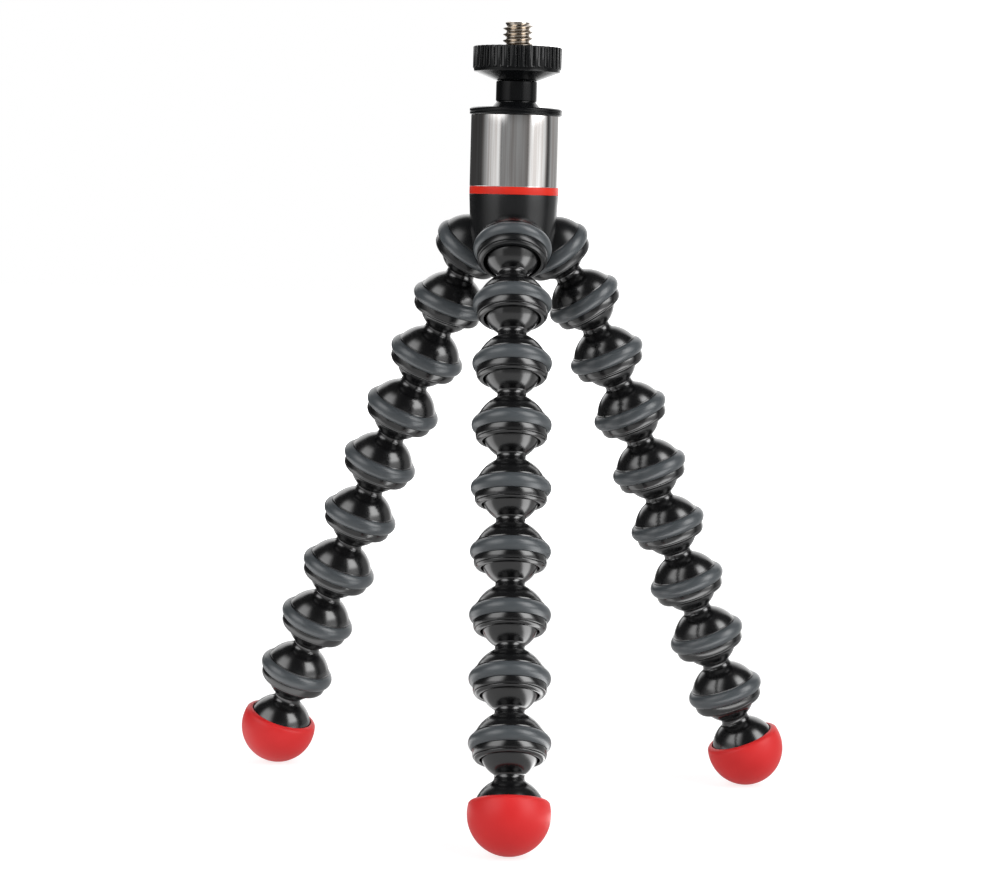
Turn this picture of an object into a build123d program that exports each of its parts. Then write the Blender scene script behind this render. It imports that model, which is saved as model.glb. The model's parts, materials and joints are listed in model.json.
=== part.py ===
# Flexible leg tripod: a small camera head on three legs of linked ball joints, in millimetres and degrees.
# The feet stand on z = 0, the head points up, and the origin is under the middle of the whole tripod.
import os
from math import acos, atan2, cos, hypot, radians, sin, sqrt

from build123d import *

os.makedirs("parts", exist_ok=True)

# Ball joints, the same all over the tripod: a ball on a neck snaps into a cup
ball_radius = 6.0
ball_clearance = 0.05
neck_radius = 3.0
neck_length = 1.18
ball_blend_radius = 1.0
dome_blend_radius = 0.3

# Cup of a link, measured from the ball's centre: the bore closes in past the ball's middle, then flares
seat_wall = 0.7
dome_rise = 0.8
grip_depth = 1.6
mouth_flare = 0.17
mouth_depth = 2.5
lip_width = 0.55
lip_round = 0.55
lip_inset = 0.2
rim_lip = 0.67
rim_taper = 0.08

# Rubber grip ring and the groove that seats it, under a thin collar at the foot of the dome
seat_above = 2.75
seat_below = 0.35
collar_height = 0.3
collar_lip = 0.37
ring_fit = 0.03
ring_depth = 1.5
ring_top_depth = 0.42
ring_foot_depth = 0.75

# Foot: a full dome in a rubber cap
foot_neck_length = 1.21
foot_dome_radius = 7.2
cap_wall = 1.07
cap_fit = 0.03
cap_lip_height = 2.1
cap_lip_rise = 0.75

# Head, with heights measured from the plane through the centres of its three sockets
socket_offset = 3.85
socket_angle = 38
socket_set_out = 0.4
socket_dome_rise = 0.2
socket_count = 3
first_socket_azimuth = -90
band_bottom = 11.93
band_height = 1.6
sleeve_radius = 9.5
sleeve_height = 15.15
sleeve_wall = 0.66
press_gap = 0.03
housing_depth = 5.4
groove_room = 0.35

# The lower housing draws in below the band: how far at four heights, down to its floor
shoulder_height = 7.8
shoulder_draw = 0.18
waist_height = 0.25
waist_draw = 0.78
chin_depth = 3.45
chin_draw = 2.5
floor_draw = 4.7

# Top cap: a flange on the sleeve, a plug in the housing's bore, and the stem that carries the knob
flange_overhang = 0.37
flange_height = 1.6
flange_edge = 0.35
plug_height = 5.0
plug_inset = 2.19
flare_width = 0.85
flare_undercut = 0.2
flare_height = 1.35
stem_wall = 0.97
stem_height = 4.3
spigot_gap = 1.2
bore_spare = 0.5

# Camera screw with the standard quarter inch thread, and its hexagon head held in the plug
thread_radius = 3.175
thread_length = 5.2
thread_chamfer = 0.6
shank_step = 0.225
shank_clearance = 0.05
screw_head_width = 9.0
screw_head_height = 3.0
head_pocket_fit = 0.05

# Knurled locking ring that runs up the shank and clamps against the camera
knob_radius = 9.42
knob_gap = 0.1
knob_cone_height = 1.7
knob_cone_step = 0.05
knob_bevel_height = 0.8
knob_bevel_draw = 0.25
knurl_height = 4.6
knurl_count = 36
knurl_depth = 0.45
knurl_width = 0.75
knurl_floor_width = 0.5

# Stance: the azimuth that each leg leans to, and each link's lean from upright, from the head down
leg_azimuths = {"front": -87.5, "left": 149, "right": 15.5}
leg_leans = {
    "front": (28.5, 24, 21, 19.5, 21, 24, 26, 27, 21),
    "left": (22, 25.5, 26.5, 25, 21.5, 24, 24.5, 23.5, 19.5),
    "right": (33.5, 23.5, 25, 20.5, 20, 21, 22, 20.5, 21.5),
}
socket_of_leg = {"front": 0, "right": 1, "left": 2}

# One overrun serves every cut that has to pass a face
overrun = 1.0


def reach_at(radius, height):
    """How far out a circle about the origin reaches at a height."""
    return sqrt(radius**2 - height**2)


# Radii of a cup, from the bore outwards
socket_bore_radius = ball_radius + ball_clearance
seat_radius = socket_bore_radius + seat_wall
cup_radius = seat_radius + dome_rise
collar_radius = seat_radius + collar_lip
rim_radius = seat_radius + rim_lip
ring_radius = seat_radius + ring_depth
ring_top_radius = seat_radius + ring_top_depth
ring_foot_radius = seat_radius + ring_foot_depth
mouth_radius = reach_at(socket_bore_radius, grip_depth) + mouth_flare
lip_radius = mouth_radius + lip_width
socket_dome_radius = seat_radius + socket_dome_rise
socket_reach = seat_radius + socket_offset
cap_radius = foot_dome_radius + cap_fit + cap_wall

# Steps down a leg: from a ball's centre to the foot of its neck, along the neck, and on to the dome's centre
ball_to_neck = reach_at(ball_radius, neck_radius)
link_pitch = ball_to_neck + neck_length + reach_at(cup_radius, neck_radius)
foot_pitch = ball_to_neck + foot_neck_length + reach_at(foot_dome_radius, neck_radius)

# Radii of the head, the sleeve's first and then the stem's
flange_radius = sleeve_radius + flange_overhang
spigot_radius = sleeve_radius - sleeve_wall - press_gap
plug_radius = spigot_radius - plug_inset
shank_radius = thread_radius + shank_step
stem_radius = shank_radius + stem_wall
flare_radius = stem_radius + flare_width
flare_top_radius = stem_radius - flare_undercut
knob_cone_radius = stem_radius - knob_cone_step
knob_bevel_radius = knob_radius - knob_bevel_draw

# Heights of the head's pieces, each standing on the one below
band_top = band_bottom + band_height
sleeve_top = band_top + sleeve_height
flange_top = sleeve_top + flange_height
flare_top = flange_top + flare_height
stem_top = flare_top + stem_height
cone_bottom = stem_top + knob_gap
bevel_bottom = cone_bottom + knob_cone_height
knurl_bottom = bevel_bottom + knob_bevel_height
knob_top = knurl_bottom + knurl_height
spigot_top = sleeve_top - spigot_gap
plug_bottom = sleeve_top - plug_height


def lean_vector(azimuth, lean):
    """Unit vector that points down and leans out from upright towards an azimuth."""
    out = sin(radians(lean))
    return Vector(out * cos(radians(azimuth)), out * sin(radians(azimuth)), -cos(radians(lean)))


def socket_azimuth(index):
    return first_socket_azimuth + index * 360 / socket_count


def socket_centre(index):
    azimuth = radians(socket_azimuth(index))
    return Vector(socket_reach * cos(azimuth), socket_reach * sin(azimuth), 0)


def leg_steps(leans):
    """Length of each step down a leg: every link's pitch, then the foot's."""
    return [link_pitch] * (len(leans) - 1) + [foot_pitch]


def leg_drop(leans):
    """How far a leg's foot centre lies below its socket."""
    return sum(step * cos(radians(lean)) for step, lean in zip(leg_steps(leans), leans))


def levelled(leans, drop):
    """The same leans, all turned by one small angle so that the foot comes down by the given drop."""
    across = sum(step * sin(radians(lean)) for step, lean in zip(leg_steps(leans), leans))
    down = leg_drop(leans)
    turn = acos(drop / hypot(across, down)) - atan2(across, down)
    return [lean + turn / radians(1) for lean in leans]


def leg_joints(name, drop):
    """Joint centres down a leg, the foot's centre last, with each link's unit vector."""
    centres = [socket_centre(socket_of_leg[name])]
    leans = levelled(leg_leans[name], drop)
    vectors = [lean_vector(leg_azimuths[name], lean) for lean in leans]
    for step, vector in zip(leg_steps(leans), vectors):
        centres.append(centres[-1] + vector * step)
    return centres, vectors


# The front leg sets the height, and the feet set the middle of the tripod's footprint
foot_drop = leg_drop(leg_leans["front"])
feet = {name: leg_joints(name, foot_drop)[0][-1] for name in leg_leans}
middle_x = (min(foot.X for foot in feet.values()) + max(foot.X for foot in feet.values())) / 2
middle_y = (min(foot.Y for foot in feet.values()) + max(foot.Y for foot in feet.values())) / 2
head_origin = Vector(-middle_x, -middle_y, foot_drop + cap_radius)
head_plane = Plane(origin=head_origin)
head_axis = Axis(head_origin, (0, 0, 1))
head_side = Plane(origin=head_origin, x_dir=(1, 0, 0), z_dir=(0, -1, 0))


def level(height):
    """Level plane on the head's axis at a height above the sockets."""
    return head_plane.offset(height)


def axis_plane(centre, down):
    """Plane through a link's axis: its x runs out from the axis and its y runs up the axis."""
    up = -down
    across = Vector(0, 0, 1).cross(up).normalized()
    return Plane(origin=centre, x_dir=across, z_dir=across.cross(up))


def spin(plane, mode=Mode.ADD):
    """Turn the pending half outline round the y axis of the plane that it was drawn on."""
    revolve(axis=Axis(plane.origin, plane.y_dir), mode=mode)


def on_circle(radius, height):
    """Point of a circle about the origin at a height, on its outer side."""
    return (reach_at(radius, height), height)


def blend(sphere_radius, blend_radius):
    """Where a blend leaves a sphere and where it meets the neck, as distances from the sphere's centre."""
    centre_out = neck_radius + blend_radius
    centre_along = sqrt((sphere_radius + blend_radius) ** 2 - centre_out**2)
    share = sphere_radius / (sphere_radius + blend_radius)
    return centre_out * share, centre_along * share, centre_along


def draw_ball_and_neck(ball_height, dome_radius):
    """Outline of a ball and its neck, from the ball's top to where the neck's blend meets the dome."""
    ball_out, ball_down, neck_top = blend(ball_radius, ball_blend_radius)
    dome_out, dome_up, neck_foot = blend(dome_radius, dome_blend_radius)
    ball_end = (ball_out, ball_height - ball_down)
    neck_start = (neck_radius, ball_height - neck_top)
    neck_end = (neck_radius, neck_foot)
    dome_start = (dome_out, dome_up)
    ThreePointArc((0, ball_height + ball_radius), (ball_radius, ball_height), ball_end)
    TangentArc(neck_start, ball_end, tangent=(0, 1))
    Line(neck_start, neck_end)
    TangentArc(neck_end, dome_start, tangent=(0, -1))
    return dome_start


def draw_cup_outside(start, set_out, dome_radius):
    """Outline of a cup's outside from a point on its dome to the inner edge of its lip."""
    collar_top = seat_above + collar_height
    dome_end = Vector(*on_circle(dome_radius, collar_top)) - Vector(0, set_out)
    dome_middle_height = (start[1] + set_out + collar_top) / 2
    dome_middle = Vector(*on_circle(dome_radius, dome_middle_height)) - Vector(0, set_out)
    step_height = -set_out - mouth_depth + lip_round
    lip_outer = rim_radius - rim_taper - lip_inset
    lip_bottom = -set_out - mouth_depth
    ThreePointArc(start, dome_middle, dome_end)
    Polyline(
        dome_end,
        (collar_radius, collar_top - set_out),
        (collar_radius, seat_above - set_out),
        (seat_radius, seat_above - set_out),
        (seat_radius, -seat_below - set_out),
        (rim_radius, -seat_below - set_out),
        (rim_radius - rim_taper, step_height),
        (lip_outer, step_height),
    )
    TangentArc((lip_outer, step_height), (lip_radius, lip_bottom), tangent=(0, -1))
    Line((lip_radius, lip_bottom), (mouth_radius, lip_bottom))


def draw_cup_bore(set_out):
    """Outline of a cup's bore, from the lip's inner edge to the top of the bore."""
    grip = on_circle(socket_bore_radius, -grip_depth)
    Line((mouth_radius, -set_out - mouth_depth), grip)
    ThreePointArc(grip, (socket_bore_radius, 0), (0, socket_bore_radius))


def make_link(plane):
    """Leg link: a ball and neck on top of a cup for the next ball."""
    with BuildPart() as link:
        with BuildSketch(plane):
            with BuildLine():
                dome_start = draw_ball_and_neck(link_pitch, cup_radius)
                draw_cup_outside(dome_start, 0, cup_radius)
                draw_cup_bore(0)
                Line((0, socket_bore_radius), (0, link_pitch + ball_radius))
            make_face()
        spin(plane)
    return link.part


def draw_ring(set_out):
    """Outline of the rubber grip ring, a little clear of its groove."""
    inside = seat_radius + ring_fit
    top = seat_above - ring_fit - set_out
    bottom = -seat_below + ring_fit - set_out
    ThreePointArc((ring_top_radius, top), (ring_radius, (top + bottom) / 2), (ring_foot_radius, bottom))
    Polyline((ring_foot_radius, bottom), (inside, bottom), (inside, top), (ring_top_radius, top))


def make_ring(plane):
    """Rubber grip ring on a link's cup."""
    with BuildPart() as ring:
        with BuildSketch(plane):
            with BuildLine():
                draw_ring(0)
            make_face()
        spin(plane)
    return ring.part


def make_foot_core(plane):
    """Foot: a ball and neck on a full dome that fills the rubber cap."""
    with BuildPart() as core:
        with BuildSketch(plane):
            with BuildLine():
                dome_start = draw_ball_and_neck(foot_pitch, foot_dome_radius)
                ThreePointArc(dome_start, (foot_dome_radius, 0), (0, -foot_dome_radius))
                Line((0, -foot_dome_radius), (0, foot_pitch + ball_radius))
            make_face()
        spin(plane)
    return core.part


def make_foot_cap(plane):
    """Rubber cap round the foot, open at the top with a rounded lip."""
    inside = foot_dome_radius + cap_fit
    outer_lip = on_circle(cap_radius, cap_lip_height)
    inner_lip = on_circle(inside, cap_lip_height)
    lip_middle = (outer_lip[0] + inner_lip[0]) / 2
    with BuildPart() as cap:
        with BuildSketch(plane):
            with BuildLine():
                ThreePointArc((0, -cap_radius), (cap_radius, 0), outer_lip)
                ThreePointArc(outer_lip, (lip_middle, cap_lip_height + cap_lip_rise), inner_lip)
                ThreePointArc(inner_lip, (inside, 0), (0, -inside))
                Line((0, -inside), (0, -cap_radius))
            make_face()
        spin(plane)
    return cap.part


def keep(part, name):
    """Label a finished piece and write it out."""
    part.label = name
    export_step(part, f"parts/{name}.step")


# Legs: every link with its ring, then the foot and its cap
for leg_name in leg_leans:
    joint_centres, link_vectors = leg_joints(leg_name, foot_drop)
    steps_down = zip(joint_centres[1:], link_vectors)
    places = [axis_plane(head_origin + centre, vector) for centre, vector in steps_down]
    for number, place in enumerate(places[:-1], start=1):
        keep(make_link(place), f"{leg_name}_leg_link_{number}")
        keep(make_ring(place), f"{leg_name}_leg_ring_{number}")
    keep(make_foot_core(places[-1]), f"{leg_name}_leg_foot_core")
    keep(make_foot_cap(places[-1]), f"{leg_name}_leg_foot_cap")

# Sockets of the head: cups like the links' own, leaning out and set out a little from the ball
socket_planes = [
    axis_plane(head_origin + socket_centre(index), lean_vector(socket_azimuth(index), socket_angle))
    for index in range(socket_count)
]

# Lower housing with its three sockets, its groove for each ring, and the spigot inside the sleeve
with BuildPart() as lower_housing:
    with BuildSketch(head_side):
        with BuildLine():
            shoulder = (sleeve_radius - shoulder_draw, shoulder_height)
            waist = (sleeve_radius - waist_draw, waist_height)
            chin = (sleeve_radius - chin_draw, -chin_depth)
            floor_edge = (sleeve_radius - floor_draw, -housing_depth)
            Spline(shoulder, waist, chin, floor_edge)
            Polyline(
                floor_edge,
                (0, -housing_depth),
                (0, spigot_top),
                (spigot_radius, spigot_top),
                (spigot_radius, band_bottom),
                (sleeve_radius, band_bottom),
                shoulder,
            )
        make_face()
    revolve(axis=head_axis)
    for socket_plane in socket_planes:
        with BuildSketch(socket_plane):
            with BuildLine():
                dome_top = (0, socket_dome_radius - socket_set_out)
                draw_cup_outside(dome_top, socket_set_out, socket_dome_radius)
                mouth_height = -socket_set_out - mouth_depth
                Polyline((mouth_radius, mouth_height), (0, mouth_height), dome_top)
            make_face()
        spin(socket_plane)
    for socket_plane in socket_planes:
        with BuildSketch(socket_plane):
            with Locations((seat_radius, seat_above - socket_set_out)):
                ring_room = ring_radius + groove_room - seat_radius
                Rectangle(ring_room, seat_above + seat_below, align=(Align.MIN, Align.MAX))
        spin(socket_plane, Mode.SUBTRACT)
        with BuildSketch(socket_plane):
            with BuildLine():
                draw_cup_bore(socket_set_out)
                Polyline(
                    (0, socket_bore_radius),
                    (0, mouth_height - overrun),
                    (mouth_radius, mouth_height - overrun),
                    (mouth_radius, mouth_height),
                )
            make_face()
        spin(socket_plane, Mode.SUBTRACT)
    with BuildSketch(level(plug_bottom - bore_spare)):
        Circle(plug_radius + press_gap)
    extrude(amount=plug_height + bore_spare + overrun, mode=Mode.SUBTRACT)

# Top cap: flange, flare and stem in one moulding, with the plug and the hexagon pocket below
with BuildPart() as top_cap:
    with BuildSketch(head_side):
        with BuildLine():
            Polyline(
                (0, plug_bottom),
                (plug_radius, plug_bottom),
                (plug_radius, sleeve_top),
                (flange_radius - flange_edge, sleeve_top),
                (flange_radius, sleeve_top + flange_edge),
                (flange_radius, flange_top - flange_edge),
                (flange_radius - flange_edge, flange_top),
                (flare_radius, flange_top),
                (flare_top_radius, flare_top),
                (stem_radius, flare_top),
                (stem_radius, stem_top),
                (0, stem_top),
                (0, plug_bottom),
            )
        make_face()
    revolve(axis=head_axis)
    with BuildSketch(level(plug_bottom)):
        RegularPolygon(screw_head_width / 2 + head_pocket_fit, 6, major_radius=False)
    extrude(amount=screw_head_height, mode=Mode.SUBTRACT)
    with BuildSketch(level(plug_bottom)):
        Circle(shank_radius + shank_clearance)
    extrude(amount=stem_top - plug_bottom + overrun, mode=Mode.SUBTRACT)

body_housing = Compound(children=[lower_housing.part, top_cap.part])
keep(body_housing, "body_housing")

# Rubber rings in the three sockets' grooves
with BuildPart() as socket_rings:
    for socket_plane in socket_planes:
        with BuildSketch(socket_plane):
            with BuildLine():
                draw_ring(socket_set_out)
            make_face()
        spin(socket_plane)
keep(socket_rings.part, "socket_rings")

# Coloured band under the sleeve
with BuildPart() as accent_band:
    with BuildSketch(level(band_bottom)):
        Circle(sleeve_radius)
        Circle(spigot_radius + press_gap, mode=Mode.SUBTRACT)
    extrude(amount=band_height)
keep(accent_band.part, "accent_band")

# Steel sleeve between the band and the flange
with BuildPart() as steel_sleeve:
    with BuildSketch(level(band_top)):
        Circle(sleeve_radius)
        Circle(spigot_radius + press_gap, mode=Mode.SUBTRACT)
    extrude(amount=sleeve_height)
keep(steel_sleeve.part, "steel_sleeve")

# Camera screw: hexagon head, plain shank for the knob, and the thread's outside as a plain pin
with BuildPart() as camera_screw:
    with BuildSketch(level(plug_bottom)):
        RegularPolygon(screw_head_width / 2, 6, major_radius=False)
    extrude(amount=screw_head_height)
    with BuildSketch(level(plug_bottom)):
        Circle(shank_radius)
    extrude(amount=knob_top - plug_bottom)
    with BuildSketch(level(knob_top)):
        Circle(thread_radius)
    extrude(amount=thread_length)
    chamfer(camera_screw.edges().sort_by(Axis.Z)[-1], thread_chamfer)
keep(camera_screw.part, "camera_screw")

# Locking ring: a knurled rim over a bevel and a shallow cone that comes down to the stem
with BuildPart() as lock_ring:
    with BuildSketch(level(knurl_bottom)):
        Circle(knob_radius)
        with PolarLocations(knob_radius, knurl_count):
            with BuildLine(mode=Mode.PRIVATE) as flute:
                Polyline(
                    (overrun, knurl_width / 2),
                    (0, knurl_width / 2),
                    (-knurl_depth, knurl_floor_width / 2),
                    (-knurl_depth, -knurl_floor_width / 2),
                    (0, -knurl_width / 2),
                    (overrun, -knurl_width / 2),
                    close=True,
                )
            add(make_face(flute.edges(), mode=Mode.PRIVATE), mode=Mode.SUBTRACT)
    extrude(amount=knurl_height)
    with BuildSketch(head_side):
        with BuildLine():
            Polyline(
                (0, cone_bottom),
                (knob_cone_radius, cone_bottom),
                (knob_bevel_radius - knurl_depth, bevel_bottom),
                (knob_bevel_radius, bevel_bottom),
                (knob_radius - knurl_depth, knurl_bottom),
                (0, knurl_bottom),
                (0, cone_bottom),
            )
        make_face()
    revolve(axis=head_axis)
    with BuildSketch(level(cone_bottom)):
        Circle(shank_radius + shank_clearance)
    extrude(amount=knob_top - cone_bottom + overrun, mode=Mode.SUBTRACT)
keep(lock_ring.part, "lock_ring")
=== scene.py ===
import json
import math

import bmesh
import bpy
from mathutils import Matrix, Vector


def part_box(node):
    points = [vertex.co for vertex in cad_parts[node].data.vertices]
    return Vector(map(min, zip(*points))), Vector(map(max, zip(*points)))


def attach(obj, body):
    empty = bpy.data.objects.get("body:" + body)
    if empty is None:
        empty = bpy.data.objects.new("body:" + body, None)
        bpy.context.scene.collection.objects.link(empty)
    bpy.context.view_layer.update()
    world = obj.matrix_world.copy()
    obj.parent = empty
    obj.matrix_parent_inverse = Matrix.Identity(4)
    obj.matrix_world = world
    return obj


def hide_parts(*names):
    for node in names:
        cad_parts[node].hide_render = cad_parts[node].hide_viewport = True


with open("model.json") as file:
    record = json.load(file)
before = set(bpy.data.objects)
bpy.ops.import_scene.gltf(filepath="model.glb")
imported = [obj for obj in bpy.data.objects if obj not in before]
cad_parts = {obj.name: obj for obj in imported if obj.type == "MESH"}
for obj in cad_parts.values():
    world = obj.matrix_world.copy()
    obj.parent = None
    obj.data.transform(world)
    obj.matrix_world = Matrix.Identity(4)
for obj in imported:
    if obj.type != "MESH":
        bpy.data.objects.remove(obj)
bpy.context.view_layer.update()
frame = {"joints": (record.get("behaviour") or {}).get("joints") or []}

MM = 0.001
FULL_TURN = 2 * math.pi
LEGS = ("front", "left", "right")
LINKS_PER_LEG = 8

# Segments round a turned piece and over a rounded corner, and degrees per step of a drawn arc
LINK_SEGMENTS = 80
HEAD_SEGMENTS = 128
CORNER_SEGMENTS = 3
ARC_STEP = 5

# Angle between faces that counts as a sharp edge
SHARP_ANGLE = 42

# Distances within which doubled points are merged, and within which a point counts as level with a height
TURNED_MERGE = 0.002
THREAD_MERGE = 0.004
KNURL_MERGE = 0.005
LEVEL_TOLERANCE = 0.01

# Ball joints, as in the frame: heights are measured from the centre of the ball that a cup holds
BALL_RADIUS = 6.0
BORE_RADIUS = 6.05
NECK_RADIUS = 3.0
BALL_BLEND = 0.7
DOME_BLEND = 1.1
LINK_PITCH = 13.3
DOME_RADIUS = 7.55
SOCKET_DOME_RADIUS = 7.9
SOCKET_SET_OUT = 0.4
SOCKET_LEAN = 38
GRIP_DEPTH = 1.6
MOUTH_RADIUS = 6.0
MOUTH_DEPTH = 2.5
RIM_RADIUS = 7.42
COLLAR_RADIUS = 7.12
SEAT_RADIUS = 6.75
SEAT_TOP = 2.75
SEAT_BOTTOM = -0.35
COLLAR_TOP = SEAT_TOP + 0.3

# Outside of a cup from its collar down to its mouth: radius, height and rounding of each corner
CUP_CORNERS = (
    (COLLAR_RADIUS, COLLAR_TOP, 0.08),
    (COLLAR_RADIUS, SEAT_TOP, 0),
    (SEAT_RADIUS, SEAT_TOP, 0),
    (SEAT_RADIUS, SEAT_BOTTOM, 0),
    (RIM_RADIUS, SEAT_BOTTOM, 0.06),
    (RIM_RADIUS, -1.3, 0.3),
    (7.28, -1.78, 0.06),
    (7.06, -1.8, 0),
    (7.1, -1.92, 0.06),
    (7.04, -2.12, 0.12),
    (6.65, -MOUTH_DEPTH, 0.22),
    (MOUTH_RADIUS, -MOUTH_DEPTH, 0.14),
)

# Rubber grip ring
RING_RADIUS = 8.25
RING_INSIDE = 6.78
RING_TOP_RADIUS = 7.2
RING_FOOT_RADIUS = 7.5
RING_MARGIN = 0.03
RING_ROUND = 0.1

# Foot, and the corners of its rubber cap's lip: radius, height and rounding
FOOT_PITCH = 12.95
FOOT_DOME_RADIUS = 7.2
CAP_RADIUS = 8.3
CAP_INSIDE = 7.23
CAP_LIP_HEIGHT = 2.1
CAP_INSIDE_HEIGHT = CAP_LIP_HEIGHT + 0.35
CAP_LIP_CORNERS = (
    (7.7, CAP_LIP_HEIGHT + 0.5, 0.4),
    (6.86, CAP_LIP_HEIGHT + 0.7, 0.12),
)

# Head: radii, and heights above the plane of the three sockets
SLEEVE_RADIUS = 9.5
SLEEVE_INSIDE = 8.87
SLEEVE_ROUND = 0.12
BAND_BOTTOM = 11.93
BAND_TOP = 13.53
BAND_ROUND = 0.08
SLEEVE_TOP = 28.68
FLANGE_RADIUS = 9.87
FLANGE_SIDE = FLANGE_RADIUS - 0.05
FLANGE_TOP = 30.28
STEM_RADIUS = 4.37
FLARE_RADIUS = 5.22
FLARE_TOP_RADIUS = 4.17
FLARE_TOP = 31.63
STEM_TOP = 35.93
CONE_RADIUS = 4.32
CONE_BOTTOM = 36.03
BEVEL_BOTTOM = 37.73
KNURL_BOTTOM = 38.53
KNOB_TOP = 43.13
KNOB_RADIUS = 9.42
SHANK_RADIUS = 3.45

# Lower housing: where its wall ends and the round of its underside begins
WALL_FOOT_RADIUS = 8.8
WALL_FOOT = 0.6
HOUSING_ROUND = 6.0

# Corners of the head's turned pieces: radius, height and rounding
HOUSING_CORNERS = (
    (SLEEVE_RADIUS, BAND_BOTTOM, 0.1),
    (9.3, 7.8, 0),
    (WALL_FOOT_RADIUS, WALL_FOOT, 0),
)
FLANGE_CORNERS = (
    (FLANGE_RADIUS - 0.3, SLEEVE_TOP, 0),
    (FLANGE_SIDE, SLEEVE_TOP + 0.2, 0.08),
    (FLANGE_SIDE, SLEEVE_TOP + 0.62, 0.05),
    (FLANGE_SIDE - 0.12, SLEEVE_TOP + 0.7, 0),
    (FLANGE_SIDE, SLEEVE_TOP + 0.78, 0.05),
    (FLANGE_RADIUS, FLANGE_TOP - 0.35, 0.1),
    (FLANGE_RADIUS - 0.45, FLANGE_TOP, 0.25),
)
STEM_CORNERS = (
    (FLARE_RADIUS, FLANGE_TOP, 0.25),
    (FLARE_TOP_RADIUS, FLARE_TOP - 0.15, 0.3),
    (FLARE_TOP_RADIUS, FLARE_TOP, 0),
    (STEM_RADIUS, FLARE_TOP + 0.1, 0.08),
    (STEM_RADIUS, STEM_TOP - 0.15, 0.05),
    (STEM_RADIUS - 0.15, STEM_TOP, 0),
    (0, STEM_TOP, 0),
)
KNOB_UNDER_TOP = KNURL_BOTTOM + 0.02
KNOB_UNDER_CORNERS = (
    (SHANK_RADIUS, CONE_BOTTOM, 0),
    (CONE_RADIUS, CONE_BOTTOM, 0.1),
    (KNOB_RADIUS - 0.75, BEVEL_BOTTOM, 0.08),
    (KNOB_RADIUS - 0.3, BEVEL_BOTTOM + 0.12, 0.1),
    (KNOB_RADIUS - 0.16, KNOB_UNDER_TOP, 0.04),
    (SHANK_RADIUS, KNOB_UNDER_TOP, 0),
)

# Knurl: corners across one flute, as a share of the pitch and a depth
KNURL_COUNT = 36
KNURL_DEPTH = 0.45
FLUTE_CORNERS = (
    (-0.5, 0),
    (-0.3, 0),
    (-0.2, KNURL_DEPTH),
    (0.2, KNURL_DEPTH),
    (0.3, 0),
    (0.5, 0),
)
FLUTE_ROUND = 0.09
FLUTE_ROUND_SEGMENTS = 2

# Rows of the knurled wall above its foot: height, and how far the row is drawn in
KNURL_ROWS = ((KNURL_BOTTOM + 0.5, 0), (KNOB_TOP - 0.18, 0), (KNOB_TOP, 0.16))

# Share of a flute's depth that is left at the wall's foot, where the flutes run out
FLUTE_END_SHARE = 0.1

# Camera screw, a quarter inch thread with twenty turns to the inch
THREAD_RADIUS = 3.175
THREAD_ROOT = 2.45
THREAD_PITCH = 1.27
THREAD_LENGTH = 5.2
THREAD_CHAMFER = 0.6
THREAD_TIP_ROOT = THREAD_ROOT - 0.25
THREAD_TOP = KNOB_TOP + THREAD_LENGTH
THREAD_FOOT = KNOB_TOP - 0.6
THREAD_TURNS = 8
THREAD_TURNS_BELOW = 2
THREAD_STEPS = 40

# Lower flank of a tooth, as a share of the pitch and a radius
THREAD_FLANK = ((0, THREAD_ROOT), (0.1, THREAD_ROOT), (0.45, THREAD_RADIUS))


# where things are in the frame


def joint_place(name):
    """Centre of a joint of the frame."""
    for joint in frame["joints"]:
        if joint["name"] == name:
            return Vector(joint["pos_m"])
    raise ValueError(name)


def box_centre(node):
    low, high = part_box(node)
    return (Vector(low) + Vector(high)) / 2


def ball_centres(leg):
    """Centres of a leg's balls, from the head down to the foot's own ball."""
    names = [f"{leg}_leg_ball_{number}" for number in range(1, LINKS_PER_LEG + 1)]
    return [joint_place(name) for name in names + [f"{leg}_leg_foot_ball"]]


def foot_centre(leg):
    """Centre of a foot's round cap, from the two sides of its box that the leg leans towards."""
    low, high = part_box(f"{leg}_leg_foot_cap")
    lean = ball_centres(leg)[-1] - ball_centres(leg)[0]
    x = low[0] + CAP_RADIUS * MM if lean.x < 0 else high[0] - CAP_RADIUS * MM
    y = low[1] + CAP_RADIUS * MM if lean.y < 0 else high[1] - CAP_RADIUS * MM
    return Vector((x, y, low[2] + CAP_RADIUS * MM))


def stand_on(centre, up):
    """Placement that puts a piece's origin at a centre and its own z along a direction."""
    return Matrix.Translation(centre) @ up.to_track_quat("Z", "Y").to_matrix().to_4x4()


HEAD = box_centre("steel_sleeve")
HEAD.z = joint_place("front_leg_ball_1").z
HEAD_PLACE = Matrix.Translation(HEAD)


# modelling helpers


def face_outward(bm):
    """Point every face of a closed shape outward."""
    bmesh.ops.recalc_face_normals(bm, faces=bm.faces[:])
    if bm.calc_volume(signed=True) < 0:
        bmesh.ops.reverse_faces(bm, faces=bm.faces[:])


def everything(bm):
    return bm.verts[:] + bm.edges[:] + bm.faces[:]


def only_points(items):
    return [item for item in items if isinstance(item, bmesh.types.BMVert)]


def only_edges(items):
    return [item for item in items if isinstance(item, bmesh.types.BMEdge)]


def join_points(bm, points):
    """Edges from each point to the next."""
    for first, second in zip(points, points[1:]):
        bm.edges.new((first, second))


def round_corners(bm, corners, rounding, segments):
    """Round corners of a section before it is spun."""
    bmesh.ops.bevel(
        bm,
        geom=corners,
        offset=rounding * MM,
        offset_type="OFFSET",
        segments=segments,
        profile=0.5,
        affect="VERTICES",
        material=-1,
    )


def draw_in(point, reach):
    """Move a point towards the axis, or away from it, to a distance from it."""
    share = reach / point.co.xy.length
    point.co.x *= share
    point.co.y *= share


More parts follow.
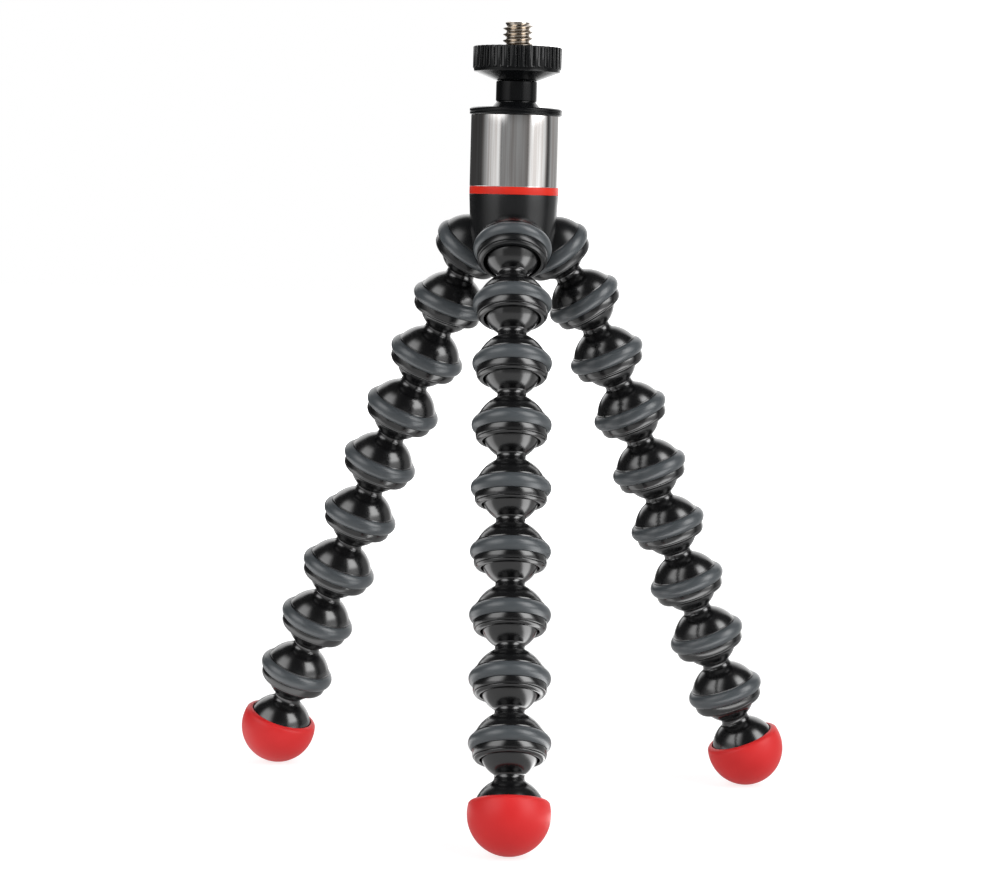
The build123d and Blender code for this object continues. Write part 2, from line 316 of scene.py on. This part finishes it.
class Outline:
    """Half section of a turned piece, in millimetres, as radius and height from its first point on."""

    def __init__(self, radius, height):
        self.bm = bmesh.new()
        self.tip = self.bm.verts.new((radius * MM, 0, height * MM))
        self.corners = []

    def line(self, radius, height, rounding=0):
        """Straight run to a point, whose corner can be rounded."""
        point = self.bm.verts.new((radius * MM, 0, height * MM))
        self.bm.edges.new((self.tip, point))
        self.tip = point
        if rounding:
            self.corners.append((point, rounding))

    def lines(self, corners, shift=0):
        """Straight runs through corners, all shifted in height."""
        for radius, height, rounding in corners:
            self.line(radius, height + shift, rounding)

    def arc(self, centre_radius, centre_height, degrees, rounding=0):
        """Arc round a centre; positive degrees turn from up towards out."""
        made = bmesh.ops.spin(
            self.bm,
            geom=[self.tip],
            cent=(centre_radius * MM, 0, centre_height * MM),
            axis=(0, 1, 0),
            angle=math.radians(degrees),
            steps=max(2, round(abs(degrees) / ARC_STEP)),
        )
        self.tip = only_points(made["geom_last"])[0]
        if rounding:
            self.corners.append((self.tip, rounding))

    def turn(self, segments):
        """Round the marked corners, then spin the outline into a closed solid."""
        for corner, rounding in self.corners:
            round_corners(self.bm, [corner], rounding, CORNER_SEGMENTS)
        bmesh.ops.spin(
            self.bm,
            geom=everything(self.bm),
            cent=(0, 0, 0),
            axis=(0, 0, 1),
            angle=FULL_TURN,
            steps=segments,
            use_merge=True,
        )
        bmesh.ops.remove_doubles(self.bm, verts=self.bm.verts[:], dist=TURNED_MERGE * MM)
        face_outward(self.bm)
        return self.bm


def finish_piece(name, bm, place, body, material, slot, *nodes):
    """Finish a shape as a piece that rides on its body, and hide the CAD nodes that it takes the place of.
    """
    bmesh.ops.transform(bm, matrix=place, verts=bm.verts[:])
    mesh = bpy.data.meshes.new(name)
    bm.to_mesh(mesh)
    bm.free()
    for face in mesh.polygons:
        face.use_smooth = True
    mesh.set_sharp_from_angle(angle=math.radians(SHARP_ANGLE))
    mesh.materials.append(material)
    piece = bpy.data.objects.new(name, mesh)
    bpy.context.scene.collection.objects.link(piece)
    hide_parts(*nodes)
    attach(piece, body)


def join_shapes(*shapes):
    """One mesh from several closed ones."""
    joined = shapes[0]
    for shape in shapes[1:]:
        spare = bpy.data.meshes.new("spare")
        shape.to_mesh(spare)
        shape.free()
        joined.from_mesh(spare)
        bpy.data.meshes.remove(spare)
    return joined


# outlines of the links


def sphere_edge(radius, height):
    """Radius of a sphere's circle at a height above its centre."""
    return math.sqrt(radius**2 - height**2)


def blend_angles(sphere_radius, blend_radius):
    """Angle from the axis at which a blend leaves a sphere, and its centre's distance along the axis."""
    out = NECK_RADIUS + blend_radius
    along = math.sqrt((sphere_radius + blend_radius) ** 2 - out**2)
    return math.degrees(math.atan2(out, along)), along


def draw_ball_and_neck(ball_height, dome_radius):
    """Outline from the top of a ball down its neck to where the neck's blend meets the dome."""
    ball_angle, ball_along = blend_angles(BALL_RADIUS, BALL_BLEND)
    dome_angle, dome_along = blend_angles(dome_radius, DOME_BLEND)
    outline = Outline(0, ball_height + BALL_RADIUS)
    outline.arc(0, ball_height, 180 - ball_angle)
    outline.arc(NECK_RADIUS + BALL_BLEND, ball_height - ball_along, ball_angle - 90)
    outline.line(NECK_RADIUS, dome_along)
    outline.arc(NECK_RADIUS + DOME_BLEND, dome_along, dome_angle - 90)
    return outline, dome_angle


def draw_cup(outline, start_angle, dome_radius, shift):
    """Carry an outline on from a dome, down the cup's outside and up its bore to the axis."""
    collar_angle = math.degrees(math.acos(COLLAR_TOP / dome_radius))
    outline.arc(0, shift, collar_angle - start_angle)
    outline.lines(CUP_CORNERS, shift)
    grip_radius = sphere_edge(BORE_RADIUS, GRIP_DEPTH)
    outline.line(grip_radius, -GRIP_DEPTH)
    outline.arc(0, 0, math.degrees(math.asin(grip_radius / BORE_RADIUS)) - 180)
    return outline


def link_shape():
    """A ball and neck over a cup."""
    outline, dome_angle = draw_ball_and_neck(LINK_PITCH, DOME_RADIUS)
    return draw_cup(outline, dome_angle, DOME_RADIUS, 0).turn(LINK_SEGMENTS)


def socket_shape():
    """A cup of the head, closed over the top by its own dome."""
    outline = Outline(0, SOCKET_DOME_RADIUS - SOCKET_SET_OUT)
    return draw_cup(outline, 0, SOCKET_DOME_RADIUS, -SOCKET_SET_OUT).turn(LINK_SEGMENTS)


def arc_centre(start, middle, end):
    """Centre of the circle through three points of an outline."""
    to_middle = Vector(middle) - Vector(start)
    to_end = Vector(end) - Vector(start)
    spread = 2 * to_middle.cross(to_end)
    out = (to_end.y * to_middle.length_squared - to_middle.y * to_end.length_squared) / spread
    up = (to_middle.x * to_end.length_squared - to_end.x * to_middle.length_squared) / spread
    return start[0] + out, start[1] + up


def ring_shape(shift=0):
    """Soft tyre section of a grip ring in its seat."""
    top = SEAT_TOP - RING_MARGIN + shift
    foot = SEAT_BOTTOM + RING_MARGIN + shift
    start = (RING_TOP_RADIUS, top)
    end = (RING_FOOT_RADIUS, foot)
    centre = arc_centre(start, (RING_RADIUS, (top + foot) / 2), end)
    first = math.atan2(start[0] - centre[0], start[1] - centre[1])
    last = math.atan2(end[0] - centre[0], end[1] - centre[1])
    outline = Outline(RING_INSIDE, foot)
    outline.line(RING_INSIDE, top)
    outline.line(RING_TOP_RADIUS, top, RING_ROUND)
    outline.arc(centre[0], centre[1], math.degrees(last - first), RING_ROUND)
    outline.line(RING_INSIDE, foot)
    return outline.turn(LINK_SEGMENTS)


def foot_shape():
    """A ball and neck on the full dome inside the rubber cap."""
    outline, dome_angle = draw_ball_and_neck(FOOT_PITCH, FOOT_DOME_RADIUS)
    outline.arc(0, 0, 180 - dome_angle)
    return outline.turn(LINK_SEGMENTS)


def cap_shape():
    """Round rubber cap with a soft lip."""
    outer_angle = math.degrees(math.acos(CAP_LIP_HEIGHT / CAP_RADIUS))
    inner_angle = math.degrees(math.acos(CAP_INSIDE_HEIGHT / CAP_INSIDE))
    outline = Outline(0, -CAP_RADIUS)
    outline.arc(0, 0, outer_angle - 180)
    outline.lines(CAP_LIP_CORNERS)
    outline.line(sphere_edge(CAP_INSIDE, CAP_INSIDE_HEIGHT), CAP_INSIDE_HEIGHT)
    outline.arc(0, 0, 180 - inner_angle)
    return outline.turn(LINK_SEGMENTS)


# the head


def socket_place(leg):
    """Placement of one of the head's sockets: its ball's centre, and its lean out from the head."""
    centre = ball_centres(leg)[0]
    out = (centre - HEAD).normalized()
    lean = math.radians(SOCKET_LEAN)
    return stand_on(centre, Vector((-out.x * math.sin(lean), -out.y * math.sin(lean), math.cos(lean))))


def housing_shape():
    """Lower housing: a slight taper down from the band, a round underside, and the three sockets."""
    body = Outline(0, BAND_BOTTOM)
    body.lines(HOUSING_CORNERS)
    body.arc(WALL_FOOT_RADIUS - HOUSING_ROUND, WALL_FOOT, 90)
    body.line(0, WALL_FOOT - HOUSING_ROUND)
    shapes = [body.turn(HEAD_SEGMENTS)]
    for leg in LEGS:
        socket = socket_shape()
        place = HEAD_PLACE.inverted() @ socket_place(leg)
        bmesh.ops.transform(socket, matrix=place, verts=socket.verts[:])
        shapes.append(socket)
    return join_shapes(*shapes)


def tube_shape(bottom, top, rounding):
    """Tube of the head: the sleeve, or the band under it."""
    outline = Outline(SLEEVE_INSIDE, bottom)
    outline.line(SLEEVE_RADIUS, bottom, rounding)
    outline.line(SLEEVE_RADIUS, top, rounding)
    outline.line(SLEEVE_INSIDE, top)
    outline.line(SLEEVE_INSIDE, bottom)
    return outline.turn(HEAD_SEGMENTS)


def top_cap_shape():
    """Flange with a fine groove round its edge, a flare, and the stem up to the knob."""
    outline = Outline(0, SLEEVE_TOP)
    outline.lines(FLANGE_CORNERS)
    outline.lines(STEM_CORNERS)
    return outline.turn(HEAD_SEGMENTS)


def settle_row(row, height, depth_share, draw):
    """Set a row of the knurled wall at a height, with a share of its flute's depth, and drawn in."""
    for point in row:
        depth = KNOB_RADIUS * MM - point.co.xy.length
        draw_in(point, (KNOB_RADIUS - draw) * MM - depth * depth_share)
        point.co.z = height * MM


def flute_wall():
    """One flute's stretch of the knurled wall, from its foot up."""
    bm = bmesh.new()
    points = []
    for share, depth in FLUTE_CORNERS:
        turn = Matrix.Rotation(math.radians(share * 360 / KNURL_COUNT), 4, "Z")
        points.append(bm.verts.new(turn @ Vector(((KNOB_RADIUS - depth) * MM, 0, 0))))
    join_points(bm, points)
    round_corners(bm, points[1:-1], FLUTE_ROUND, FLUTE_ROUND_SEGMENTS)
    foot_row = bm.verts[:]
    edges = bm.edges[:]
    for height, draw in KNURL_ROWS:
        wall = bmesh.ops.extrude_edge_only(bm, edges=edges)["geom"]
        edges = only_edges(wall)
        settle_row(only_points(wall), height, 1, draw)
    settle_row(foot_row, KNURL_BOTTOM, FLUTE_END_SHARE, 0)
    return bm


def knurled_rim():
    """Knurled rim of the lock ring: one flute's wall spun round, then closed at the top, bottom and hole."""
    bm = flute_wall()
    bmesh.ops.spin(
        bm,
        geom=everything(bm),
        cent=(0, 0, 0),
        axis=(0, 0, 1),
        angle=FULL_TURN,
        steps=KNURL_COUNT,
        use_duplicate=True,
    )
    bmesh.ops.remove_doubles(bm, verts=bm.verts[:], dist=KNURL_MERGE * MM)
    rims = [edge for edge in bm.edges if edge.is_boundary]
    for height in (KNURL_BOTTOM, KNOB_TOP):
        loop = [edge for edge in rims if abs(edge.verts[0].co.z / MM - height) < LEVEL_TOLERANCE]
        hole = bmesh.ops.create_circle(
            bm,
            cap_ends=False,
            segments=len(loop),
            radius=SHANK_RADIUS * MM,
            matrix=Matrix.Translation((0, 0, height * MM)),
        )
        circle = {edge for point in hole["verts"] for edge in point.link_edges}
        bmesh.ops.bridge_loops(bm, edges=loop + list(circle))
    holes = [edge for edge in bm.edges if edge.is_boundary]
    bmesh.ops.bridge_loops(bm, edges=holes)
    face_outward(bm)
    return bm


def knob_under():
    """Plain band and shallow cone under the knurled rim."""
    outline = Outline(SHANK_RADIUS, KNOB_UNDER_TOP)
    outline.lines(KNOB_UNDER_CORNERS)
    return outline.turn(HEAD_SEGMENTS)


def long_thread():
    """Thread longer than the screw: one tooth's outline spun with a rise into a helix."""
    bm = bmesh.new()
    start = KNOB_TOP - THREAD_TURNS_BELOW * THREAD_PITCH
    upper_flank = tuple((1 - share, radius) for share, radius in reversed(THREAD_FLANK))
    points = []
    for share, radius in THREAD_FLANK + upper_flank:
        points.append(bm.verts.new((radius * MM, 0, (start + share * THREAD_PITCH) * MM)))
    join_points(bm, points)
    bmesh.ops.spin(
        bm,
        geom=everything(bm),
        cent=(0, 0, 0),
        axis=(0, 0, 1),
        dvec=(0, 0, THREAD_PITCH * MM / THREAD_STEPS),
        angle=FULL_TURN * THREAD_TURNS,
        steps=THREAD_STEPS * THREAD_TURNS,
    )
    bmesh.ops.remove_doubles(bm, verts=bm.verts[:], dist=THREAD_MERGE * MM)
    return bm


def screw_shape():
    """Camera screw: the thread chamfered towards its tip and cut level at both ends."""
    bm = long_thread()
    for point in bm.verts:
        chamfer = THREAD_RADIUS - THREAD_CHAMFER + (THREAD_TOP - point.co.z / MM)
        limit = max(THREAD_TIP_ROOT, chamfer) * MM
        if point.co.xy.length > limit:
            draw_in(point, limit)
    for height, side in ((THREAD_TOP, 1), (THREAD_FOOT, -1)):
        cut = bmesh.ops.bisect_plane(
            bm,
            geom=everything(bm),
            plane_co=(0, 0, height * MM),
            plane_no=(0, 0, side),
            clear_outer=True,
        )
        bmesh.ops.contextual_create(bm, geom=only_edges(cut["geom_cut"]))
    face_outward(bm)
    return bm


# materials


# Broad shades and fine grain of moulded pieces, with the grain's depth
BROAD_SCALE = 160
BROAD_DETAIL = 3
GRAIN_DETAIL = 4
GRAIN_DEPTH = 0.02

# Brushed steel: upright lines, the part of their noise that becomes shades, and a sparkle between them
BRUSH_SCALE = 1500
BRUSH_STRETCH = 0.02
BRUSH_DARK = 0.38
BRUSH_LIGHT = 0.62
BRUSH_DEPTH = 0.002
SPARKLE_SCALE = 4200


def new_material(name):
    material = bpy.data.materials.new(name)
    material.use_nodes = True
    return material, material.node_tree, material.node_tree.nodes["Principled BSDF"]


def feed(tree, socket, value):
    """Set a socket to a value, or link it to another node's output."""
    if isinstance(value, bpy.types.NodeSocket):
        tree.links.new(value, socket)
    else:
        socket.default_value = value


def add_math(tree, operation, first, second):
    node = tree.nodes.new("ShaderNodeMath")
    node.operation = operation
    feed(tree, node.inputs[0], first)
    feed(tree, node.inputs[1], second)
    return node.outputs[0]


def add_ramp(tree, value, low, high, start, end, interpolation="LINEAR"):
    """Change from start to end as a value goes from low to high."""
    node = tree.nodes.new("ShaderNodeMapRange")
    node.interpolation_type = interpolation
    feed(tree, node.inputs["Value"], value)
    for name, number in (("From Min", low), ("From Max", high), ("To Min", start), ("To Max", end)):
        node.inputs[name].default_value = number
    return node.outputs["Result"]


def add_noise(tree, place, scale, detail):
    node = tree.nodes.new("ShaderNodeTexNoise")
    node.inputs["Detail"].default_value = detail
    feed(tree, node.inputs["Scale"], scale)
    feed(tree, node.inputs["Vector"], place)
    return node.outputs["Fac"]


def add_shades(tree, shader, factor, dark, light):
    """Colour between two shades."""
    node = tree.nodes.new("ShaderNodeMix")
    node.data_type = "RGBA"
    node.inputs["A"].default_value = (*dark, 1)
    node.inputs["B"].default_value = (*light, 1)
    feed(tree, node.inputs["Factor"], factor)
    feed(tree, shader.inputs["Base Color"], node.outputs["Result"])


def add_relief(tree, shader, height, strength, depth):
    """Bump, with its depth in millimetres."""
    node = tree.nodes.new("ShaderNodeBump")
    node.inputs["Strength"].default_value = strength
    node.inputs["Distance"].default_value = depth * MM
    feed(tree, node.inputs["Height"], height)
    feed(tree, shader.inputs["Normal"], node.outputs["Normal"])


def grain_group():
    """Moulded surface: a shade that drifts, a roughness that wavers with it, and a fine grain's height."""
    group = bpy.data.node_groups.new("moulded_grain", "ShaderNodeTree")
    for name in ("Scale", "Roughness", "Waver"):
        group.interface.new_socket(name, in_out="INPUT", socket_type="NodeSocketFloat")
    for name in ("Shade", "Roughness", "Height"):
        group.interface.new_socket(name, in_out="OUTPUT", socket_type="NodeSocketFloat")
    given = group.nodes.new("NodeGroupInput").outputs
    result = group.nodes.new("NodeGroupOutput").inputs
    place = group.nodes.new("ShaderNodeTexCoord").outputs["Object"]
    broad = add_noise(group, place, BROAD_SCALE, BROAD_DETAIL)
    drift = add_math(group, "SUBTRACT", broad, 0.5)
    waver = add_math(group, "MULTIPLY", drift, given["Waver"])
    feed(group, result["Shade"], broad)
    feed(group, result["Roughness"], add_math(group, "ADD", waver, given["Roughness"]))
    feed(group, result["Height"], add_noise(group, place, given["Scale"], GRAIN_DETAIL))
    return group


GRAIN = grain_group()


def moulded(name, dark, light, roughness, waver, grain_scale, bump, specular=0.5):
    """Moulded plastic or rubber: two close shades, a wavering roughness and a fine grain."""
    material, tree, shader = new_material(name)
    grain = tree.nodes.new("ShaderNodeGroup")
    grain.node_tree = GRAIN
    grain.inputs["Scale"].default_value = grain_scale
    grain.inputs["Roughness"].default_value = roughness
    grain.inputs["Waver"].default_value = waver
    add_shades(tree, shader, grain.outputs["Shade"], dark, light)
    feed(tree, shader.inputs["Roughness"], grain.outputs["Roughness"])
    add_relief(tree, shader, grain.outputs["Height"], bump, GRAIN_DEPTH)
    shader.inputs["Specular IOR Level"].default_value = specular
    return material


def brushed_steel():
    """Bare steel with fine upright brushing and a sparkle of grain."""
    material, tree, shader = new_material("brushed_steel")
    place = tree.nodes.new("ShaderNodeTexCoord").outputs["Object"]
    stretch = tree.nodes.new("ShaderNodeMapping")
    stretch.inputs["Scale"].default_value = (1, 1, BRUSH_STRETCH)
    feed(tree, stretch.inputs["Vector"], place)
    lines = add_noise(tree, stretch.outputs["Vector"], BRUSH_SCALE, detail=4)
    sparkle = add_noise(tree, place, SPARKLE_SCALE, detail=2)
    shade = add_ramp(tree, lines, BRUSH_DARK, BRUSH_LIGHT, 0, 1)
    add_shades(tree, shader, shade, dark=(0.5, 0.475, 0.46), light=(0.69, 0.69, 0.685))
    feed(tree, shader.inputs["Roughness"], add_ramp(tree, sparkle, 0, 1, start=0.06, end=0.12))
    add_relief(tree, shader, add_math(tree, "ADD", lines, sparkle), strength=0.5, depth=BRUSH_DEPTH)
    shader.inputs["Metallic"].default_value = 1
    return material


def plated_steel():
    """Bright plated steel of the camera screw."""
    material, tree, shader = new_material("plated_steel")
    place = tree.nodes.new("ShaderNodeTexCoord").outputs["Object"]
    spots = add_noise(tree, place, scale=900, detail=4)
    add_shades(tree, shader, spots, dark=(0.36, 0.31, 0.26), light=(0.6, 0.54, 0.47))
    feed(tree, shader.inputs["Roughness"], add_ramp(tree, spots, 0, 1, start=0.14, end=0.3))
    shader.inputs["Metallic"].default_value = 1
    return material


BLACK_GLOSS = moulded(
    "black_gloss_plastic",
    dark=(0.003, 0.003, 0.0033),
    light=(0.005, 0.005, 0.0055),
    roughness=0.2,
    waver=0.06,
    grain_scale=3000,
    bump=0.12,
    specular=0.75,
)
BLACK_SATIN = moulded(
    "black_satin_plastic",
    dark=(0.004, 0.0043, 0.0048),
    light=(0.0065, 0.007, 0.0077),
    roughness=0.26,
    waver=0.08,
    grain_scale=4000,
    bump=0.2,
)
BLACK_KNOB = moulded(
    "black_knob_plastic",
    dark=(0.003, 0.0033, 0.0036),
    light=(0.005, 0.0054, 0.006),
    roughness=0.2,
    waver=0.08,
    grain_scale=4000,
    bump=0.15,
    specular=0.2,
)
RING_RUBBER = moulded(
    "slate_rubber",
    dark=(0.053, 0.06, 0.065),
    light=(0.067, 0.076, 0.083),
    roughness=0.33,
    waver=0.12,
    grain_scale=5000,
    bump=0.3,
)
CAP_RUBBER = moulded(
    "red_rubber",
    dark=(0.6, 0.018, 0.019),
    light=(0.66, 0.026, 0.027),
    roughness=0.45,
    waver=0.12,
    grain_scale=5000,
    bump=0.3,
    specular=0.25,
)
BAND_PLASTIC = moulded(
    "accent_plastic",
    dark=(0.68, 0.022, 0.01),
    light=(0.74, 0.028, 0.013),
    roughness=0.34,
    waver=0.1,
    grain_scale=4000,
    bump=0.2,
    specular=0.3,
)
STEEL = brushed_steel()
SCREW_STEEL = plated_steel()


# put the tripod together


def make_head():
    band = tube_shape(BAND_BOTTOM, BAND_TOP, BAND_ROUND)
    sleeve = tube_shape(BAND_TOP, SLEEVE_TOP, SLEEVE_ROUND)
    knob = join_shapes(knurled_rim(), knob_under())
    pieces = (
        ("lower_housing", housing_shape(), "head", BLACK_SATIN, "black_satin", "body_housing"),
        ("top_cap", top_cap_shape(), "head", BLACK_KNOB, "black_satin", "body_housing"),
        ("accent_ring_band", band, "head", BAND_PLASTIC, "accent_red", "accent_band"),
        ("brushed_sleeve", sleeve, "head", STEEL, "sleeve_steel", "steel_sleeve"),
        ("threaded_screw", screw_shape(), "head", SCREW_STEEL, "screw_steel", "camera_screw"),
        ("knurled_knob", knob, "knob", BLACK_KNOB, "black_satin", "lock_ring"),
    )
    for name, shape, body, material, slot, node in pieces:
        finish_piece(name, shape, HEAD_PLACE, body, material, slot, node)
    for leg in LEGS:
        ring = ring_shape(-SOCKET_SET_OUT)
        place = socket_place(leg)
        finish_piece(f"{leg}_socket_grip", ring, place, "head", RING_RUBBER, "ring_grey", "socket_rings")


def make_leg(leg):
    centres = ball_centres(leg)
    for number in range(1, LINKS_PER_LEG + 1):
        ball, cup = centres[number - 1], centres[number]
        place = stand_on(cup, (ball - cup).normalized())
        body = f"{leg}_leg_link_{number}"
        ring = f"{leg}_leg_ring_{number}"
        finish_piece(f"{leg}_link_{number}", link_shape(), place, body, BLACK_GLOSS, "black_gloss", body)
        finish_piece(f"{leg}_grip_{number}", ring_shape(), place, body, RING_RUBBER, "ring_grey", ring)
    foot = foot_centre(leg)
    place = stand_on(foot, (centres[-1] - foot).normalized())
    body = f"{leg}_leg_foot"
    finish_piece(f"{leg}_foot", foot_shape(), place, body, BLACK_GLOSS, "black_gloss", f"{body}_core")
    finish_piece(f"{leg}_foot_rubber", cap_shape(), place, body, CAP_RUBBER, "cap_red", f"{body}_cap")


make_head()
for leg_name in LEGS:
    make_leg(leg_name)


# studio


ROOM_LIGHT = 0.06

# Windows of light: left and right edge in degrees, each with its softness, lowest and highest rise with one
# softness for both, and brightness
WINDOWS = (
    (-36, 4, 34, 6, -0.35, 0.3, 0.1, 0.26),
    (-75, 28, -39, 4, -0.45, 0.3, 0.1, 1.05),
    (36, 4, 88, 6, -0.45, 0.3, 0.1, 0.75),
    (40, 8, 78, 12, -0.45, 0.3, 0.1, 0.65),
    (102, 8, 142, 4, -0.45, 0.4, 0.1, 0.45),
    (142, 5, 200, 5, -0.6, 0.7, 0.15, 1.7),
    (-200, 5, -140, 10, 0.16, 0.7, 0.05, 1.8),
    (-200, 5, -166, 4, -0.6, -0.03, 0.02, 1.7),
    (44, 7, 80, 7, 0.26, 0.88, 0.07, 6.5),
    (-78, 12, -28, 12, 0.28, 0.86, 0.08, 3.3),
)

# How much the floor glows by itself, and how much more towards the camera, so that it shows white
FLOOR_GLOW = 0.38
FLOOR_SEEN = 0.4
FLOOR_RADIUS = 0.42
FLOOR_SEGMENTS = 96
FLOOR_SHADE = 0.35
FLOOR_ROUGHNESS = 0.9

# Painted reflection of the lamps: parts of the floor that glow for glossy rays only, so the gloss above
# shows the lamps' light: left and right edge in degrees, and brightness
FLOOR_PAINTED_REFLECTIONS = ((44, 80, 4.5), (-125, -80, 1.6))
PAINTED_REFLECTION_SOFTNESS = 7


class Sky:
    """Brightness of the studio by direction, built up from soft edged windows."""

    def __init__(self, tree, coordinates="Generated"):
        self.tree = tree
        direction = tree.nodes.new("ShaderNodeTexCoord")
        axes = tree.nodes.new("ShaderNodeSeparateXYZ")
        feed(tree, axes.inputs["Vector"], direction.outputs[coordinates])
        self.rise = axes.outputs["Z"]
        forward = add_math(tree, "MULTIPLY", axes.outputs["Y"], -1)
        self.turn = add_math(tree, "ARCTAN2", axes.outputs["X"], forward)

    def side(self, value, edge, softness, start, end):
        """Smooth change from start to end over a window's edge."""
        return add_ramp(self.tree, value, edge - softness, edge + softness, start, end, "SMOOTHSTEP")

    def window(self, left, left_soft, right, right_soft, low, high, edge):
        """Window between two azimuths, in degrees from the camera round to the right, and two rises."""
        left, left_soft, right, right_soft = map(math.radians, (left, left_soft, right, right_soft))
        inside = self.side(self.turn, left, left_soft, 0, 1)
        inside = add_math(self.tree, "MULTIPLY", inside, self.side(self.turn, right, right_soft, 1, 0))
        inside = add_math(self.tree, "MULTIPLY", inside, self.side(self.rise, low, edge, 0, 1))
        return add_math(self.tree, "MULTIPLY", inside, self.side(self.rise, high, edge, 1, 0))

    def add(self, total, part, brightness):
        return add_math(self.tree, "ADD", total, add_math(self.tree, "MULTIPLY", part, brightness))


def make_floor():
    """Pale floor that shows white, keeps the tripod's shadow, and glows in painted patches for glossy rays
    only, a painted reflection of the lamps for the gloss above it.
    """
    bm = bmesh.new()
    bmesh.ops.create_circle(bm, cap_ends=True, segments=FLOOR_SEGMENTS, radius=FLOOR_RADIUS)
    mesh = bpy.data.meshes.new("studio_floor")
    bm.to_mesh(mesh)
    bm.free()
    material, tree, shader = new_material("studio_floor")
    shader.inputs["Base Color"].default_value = (FLOOR_SHADE, FLOOR_SHADE, FLOOR_SHADE, 1)
    shader.inputs["Roughness"].default_value = FLOOR_ROUGHNESS
    shader.inputs["Emission Color"].default_value = (1, 1, 1, 1)
    path = tree.nodes.new("ShaderNodeLightPath").outputs
    shine = add_math(tree, "MULTIPLY", path["Is Camera Ray"], FLOOR_SEEN)
    shine = add_math(tree, "ADD", shine, FLOOR_GLOW)
    table = Sky(tree, "Object")
    # Painted reflection: sectors of the floor glow for glossy rays only, in place of the lamps' mirror
    # images in a glossy table
    for left, right, brightness in FLOOR_PAINTED_REFLECTIONS:
        window = table.window(left, PAINTED_REFLECTION_SOFTNESS, right, PAINTED_REFLECTION_SOFTNESS, -1, 1, 0.1)
        painted_reflection = add_math(tree, "MULTIPLY", path["Is Glossy Ray"], window)
        shine = table.add(shine, painted_reflection, brightness)
    feed(tree, shader.inputs["Emission Strength"], shine)
    mesh.materials.append(material)
    floor = bpy.data.objects.new("studio_floor", mesh)
    bpy.context.scene.collection.objects.link(floor)


def make_world():
    """White behind the tripod, soft lights left, right and behind, and a dim room between them."""
    world = bpy.data.worlds.new("studio")
    bpy.context.scene.world = world
    world.use_nodes = True
    tree = world.node_tree
    room = tree.nodes["Background"]
    room.inputs["Color"].default_value = (1, 1, 1, 1)
    sky = Sky(tree)
    bright = ROOM_LIGHT
    for *window, brightness in WINDOWS:
        bright = sky.add(bright, sky.window(*window), brightness)
    path = tree.nodes.new("ShaderNodeLightPath").outputs
    feed(tree, room.inputs["Strength"], add_math(tree, "MAXIMUM", path["Is Camera Ray"], bright))


# Camera, placed from the head's axis and the plane of its sockets
CAMERA_BACK = 604.1
CAMERA_SIDE = -1.61
CAMERA_RISE = 9.33
CAMERA_PITCH = 4.67
CAMERA_ROLL = 1.5
CAMERA_LENS = 101.7
CAMERA_SENSOR = 36
CAMERA_NEAR = 10


def make_camera():
    """Camera in front of the tripod, looking slightly down, with the photograph's small roll."""
    lens = bpy.data.cameras.new("camera")
    lens.sensor_width = CAMERA_SENSOR
    lens.lens = CAMERA_LENS
    lens.clip_start = CAMERA_NEAR * MM
    camera = bpy.data.objects.new("camera", lens)
    place = HEAD + Vector((CAMERA_SIDE, -CAMERA_BACK, CAMERA_RISE)) * MM
    pitch = Matrix.Rotation(math.radians(90 - CAMERA_PITCH), 4, "X")
    roll = Matrix.Rotation(math.radians(CAMERA_ROLL), 4, "Z")
    camera.matrix_world = Matrix.Translation(place) @ pitch @ roll
    bpy.context.scene.collection.objects.link(camera)
    bpy.context.scene.camera = camera


make_floor()
make_world()
make_camera()
bpy.context.scene.view_settings.view_transform = "Standard"
